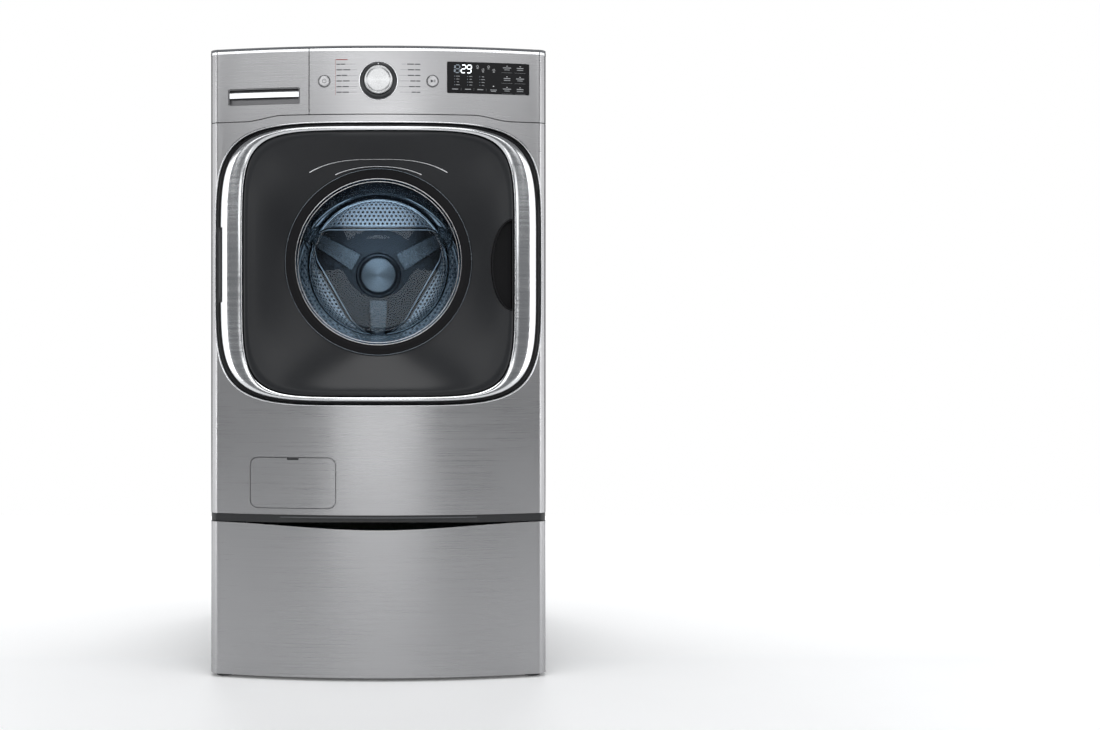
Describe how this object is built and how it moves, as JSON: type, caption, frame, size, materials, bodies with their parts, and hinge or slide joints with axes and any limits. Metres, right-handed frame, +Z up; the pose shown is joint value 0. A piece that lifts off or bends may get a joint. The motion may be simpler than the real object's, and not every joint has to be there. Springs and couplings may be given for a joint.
{
  "type": "front load washing machine",
  "caption": "Front load washing machine with a round glass bowl door, dial and touch display, standing on a pedestal with a wide storage drawer.",
  "frame": {"origin": "on the floor under the middle of the machine's bounding box", "axes": "+Z up, the door and drawer face -Y, +X is to the right seen from the front"},
  "size_m": [0.737, 0.8, 1.372],
  "materials": {
    "brushed_front": "horizontal brushed stainless",
    "bezel": "bright satin plating",
    "cabinet_paint": "graphite enamel",
    "galvanised": "plain zinc",
    "dark_plastic": "fine satin",
    "gloss_black": "smoked high gloss",
    "window_glass": "clear, faintly blue",
    "gasket_rubber": "soft grey rubber",
    "pale_plastic": "moulded satin",
    "drum_steel": "bright stainless",
    "concrete": "rough cast",
    "circuit_board": "solder mask"
  },
  "bodies": {
    "cabinet": {"pedestal_cabinet": "cabinet_paint", "pedestal_collar": "dark_plastic", "drawer_channel_left": "galvanised", "drawer_channel_right": "galvanised", "foot_front_left": "dark_plastic", "foot_back_left": "dark_plastic", "foot_front_right": "dark_plastic", "foot_back_right": "dark_plastic", "side_panel_left": "cabinet_paint", "side_panel_right": "cabinet_paint", "back_panel": "galvanised", "base_pan": "galvanised", "top_plate": "cabinet_paint", "front_panel": "brushed_front", "top_brace": "galvanised", "control_panel": "brushed_front", "display_glass": "gloss_black", "control_board": "circuit_board", "dispenser_housing": "pale_plastic", "door_surround": "cabinet_paint", "door_hinge_bracket": "drum_steel", "door_lock": "dark_plastic", "door_gasket": "gasket_rubber", "hang_spring_left": "drum_steel", "hang_spring_right": "drum_steel", "damper_body_left": "dark_plastic", "damper_body_right": "dark_plastic", "drain_pump": "dark_plastic", "inlet_valve": "pale_plastic"},
    "drawer": {"pedestal_drawer_front": "brushed_front", "pedestal_drawer_box": "galvanised"},
    "dispenser": {"dispenser_front": "brushed_front", "dispenser_pull": "bezel", "dispenser_tray": "pale_plastic"},
    "door": {"door_ring": "bezel", "door_cover": "gloss_black", "door_handle_cup": "dark_plastic", "door_frame": "dark_plastic", "door_glass_bowl": "window_glass"},
    "hatch": {"service_hatch": "brushed_front"},
    "filter": {"pump_filter": "pale_plastic"},
    "dial": {"dial_knob": "dark_plastic", "dial_cap": "bezel"},
    "power_key": {"power_button": "brushed_front"},
    "start_key": {"start_button": "brushed_front"},
    "wash_unit": {"tub_front": "pale_plastic", "tub_back": "pale_plastic", "counterweight_front": "concrete", "counterweight_top": "concrete", "bearing_front": "drum_steel", "bearing_back": "drum_steel", "motor_stator": "galvanised", "damper_rod_left": "drum_steel", "damper_rod_right": "drum_steel"},
    "drum_unit": {"drum": "drum_steel", "drum_lifter_1": "drum_steel", "drum_lifter_2": "drum_steel", "drum_lifter_3": "drum_steel", "drum_spider": "galvanised", "motor_rotor": "drum_steel"}
  },
  "joints": [
    {"name": "drawer_slide", "type": "slide", "parent": "cabinet", "child": "drawer", "axis": [0, -1, 0], "range_m": [0, 0.42]},
    {"name": "dispenser_slide", "type": "slide", "parent": "cabinet", "child": "dispenser", "axis": [0, -1, 0], "range_m": [0, 0.205]},
    {"name": "door_swing", "type": "hinge", "parent": "cabinet", "child": "door", "pos_m": [-0.344, -0.3485, 0.901], "axis": [0, 0, -1], "range_deg": [0, 120]},
    {"name": "hatch_swing", "type": "hinge", "parent": "cabinet", "child": "hatch", "pos_m": [-0.1855, -0.3727, 0.3728], "axis": [0.9932, -0.1168, 0], "range_deg": [0, 90]},
    {"name": "filter_turn", "type": "hinge", "parent": "cabinet", "child": "filter", "pos_m": [-0.185, -0.33, 0.43], "axis": [0, -1, 0], "range_deg": [0, 540]},
    {"name": "dial_turn", "type": "hinge", "parent": "cabinet", "child": "dial", "pos_m": [0, -0.39, 1.296], "axis": [0, -1, 0], "continuous": true},
    {"name": "power_press", "type": "slide", "parent": "cabinet", "child": "power_key", "axis": [0, 1, 0], "range_m": [0, 0.0015], "stiffness_N_per_m": 1500},
    {"name": "start_press", "type": "slide", "parent": "cabinet", "child": "start_key", "axis": [0, 1, 0], "range_m": [0, 0.0015], "stiffness_N_per_m": 1500},
    {"name": "tub_bounce", "type": "slide", "parent": "cabinet", "child": "wash_unit", "axis": [0, 0, 1], "range_m": [-0.012, 0.012], "stiffness_N_per_m": 40000, "springref_m": 0.01373, "deforming": ["hang_spring_left", "hang_spring_right", "door_gasket"]},
    {"name": "drum_spin", "type": "hinge", "parent": "wash_unit", "child": "drum_unit", "pos_m": [0, 0, 0.908], "axis": [0, -1, 0], "continuous": true}
  ]
}
